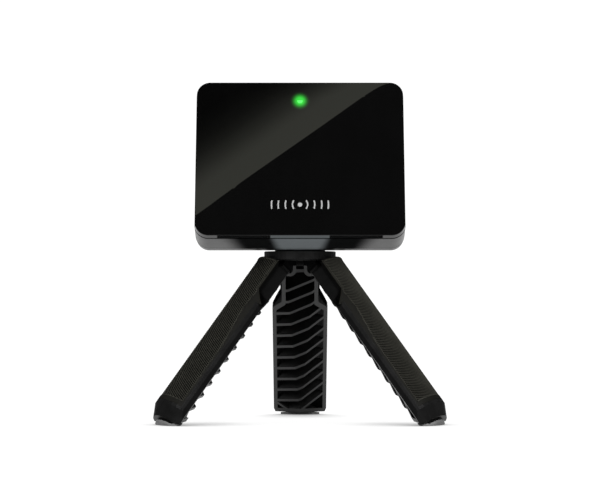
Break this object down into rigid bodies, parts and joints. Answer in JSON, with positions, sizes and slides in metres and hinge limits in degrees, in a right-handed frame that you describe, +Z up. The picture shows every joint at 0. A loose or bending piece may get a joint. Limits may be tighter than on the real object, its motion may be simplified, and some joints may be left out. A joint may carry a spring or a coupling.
{
  "type": "golf launch monitor",
  "caption": "Pocket golf launch monitor: a flat radar unit leaning back on a folding tripod, with a glossy front, a status light and spread ribbed legs.",
  "frame": {"origin": "on the ground, under the middle of the whole object's box", "axes": "+Z up, the unit's front faces -Y, +X to the right seen from the front"},
  "size_m": [0.123, 0.1104, 0.1456],
  "materials": {
    "gloss_panel": "gloss",
    "case_plastic": "satin",
    "leg_plastic": "satin moulded",
    "grip_rubber": "fine ribbed",
    "pad_rubber": "matte",
    "seal_rubber": "matte",
    "steel": "black oxide",
    "circuit_board": "solder mask",
    "chip": "matte",
    "shield": "tinned",
    "cell": "satin pouch",
    "light_pipe": "clear",
    "led": "clear"
  },
  "bodies": {
    "tripod": {"tripod_hub": "leg_plastic", "hinge_pin_rear": "steel", "hinge_pin_left": "steel", "hinge_pin_right": "steel"},
    "leg_rear": {"leg_frame_rear": "leg_plastic", "leg_grip_rear": "grip_rubber", "foot_pad_rear": "pad_rubber"},
    "leg_left": {"leg_frame_left": "leg_plastic", "leg_grip_left": "grip_rubber", "foot_pad_left": "pad_rubber"},
    "leg_right": {"leg_frame_right": "leg_plastic", "leg_grip_right": "grip_rubber", "foot_pad_right": "pad_rubber"},
    "pan_head": {"pan_head": "leg_plastic", "pan_washer": "seal_rubber", "pan_screw": "steel", "tilt_screw": "steel", "tilt_nut": "steel", "tilt_washer_right": "steel", "tilt_washer_left": "steel"},
    "unit": {"front_cover": "gloss_panel", "light_pipe": "light_pipe", "seam_gasket": "seal_rubber", "housing": "case_plastic", "rear_cover": "case_plastic", "mount_plate": "leg_plastic", "antenna_board": "circuit_board", "main_board": "circuit_board", "radar_chip": "chip", "main_chip": "chip", "board_connector": "chip", "shield_can": "shield", "wireless_antenna": "chip", "tilt_sensor": "chip", "status_led": "led", "usb_socket": "shield", "power_switch": "chip", "battery": "cell", "battery_bracket": "leg_plastic", "case_screw_1": "steel", "board_screw_1": "steel", "case_screw_2": "steel", "board_screw_2": "steel", "case_screw_3": "steel", "board_screw_3": "steel", "case_screw_4": "steel", "board_screw_4": "steel", "mount_screw_1": "steel", "mount_screw_2": "steel"},
    "power_button": {"power_button": "seal_rubber"},
    "port_cover": {"port_cover": "seal_rubber"}
  },
  "joints": [
    {"name": "leg_fold_rear", "type": "hinge", "parent": "tripod", "child": "leg_rear", "pos_m": [0, -0.0084, 0.07047], "axis": [1, 0, 0], "range_deg": [-39, 0]},
    {"name": "leg_fold_left", "type": "hinge", "parent": "tripod", "child": "leg_left", "pos_m": [-0.00433, -0.0159, 0.07047], "axis": [-0.5, 0.866, 0], "range_deg": [-39, 0]},
    {"name": "leg_fold_right", "type": "hinge", "parent": "tripod", "child": "leg_right", "pos_m": [0.00433, -0.0159, 0.07047], "axis": [-0.5, -0.866, 0], "range_deg": [-39, 0]},
    {"name": "pan", "type": "hinge", "parent": "tripod", "child": "pan_head", "pos_m": [0, -0.0134, 0.0748], "axis": [0, 0, 1], "range_deg": [-90, 90]},
    {"name": "tilt", "type": "hinge", "parent": "pan_head", "child": "unit", "pos_m": [0, -0.01707, 0.07997], "axis": [1, 0, 0], "range_deg": [-28, 0]},
    {"name": "power_button_press", "type": "slide", "parent": "unit", "child": "power_button", "axis": [0, -0.9397, 0.342], "range_m": [0, 0.0004], "stiffness_N_per_m": 800, "springref_m": -0.0002},
    {"name": "port_cover_hinge", "type": "hinge", "parent": "unit", "child": "port_cover", "pos_m": [-0.0443, -0.02228, 0.10602], "axis": [0, 0.9397, -0.342], "range_deg": [0, 110]}
  ]
}
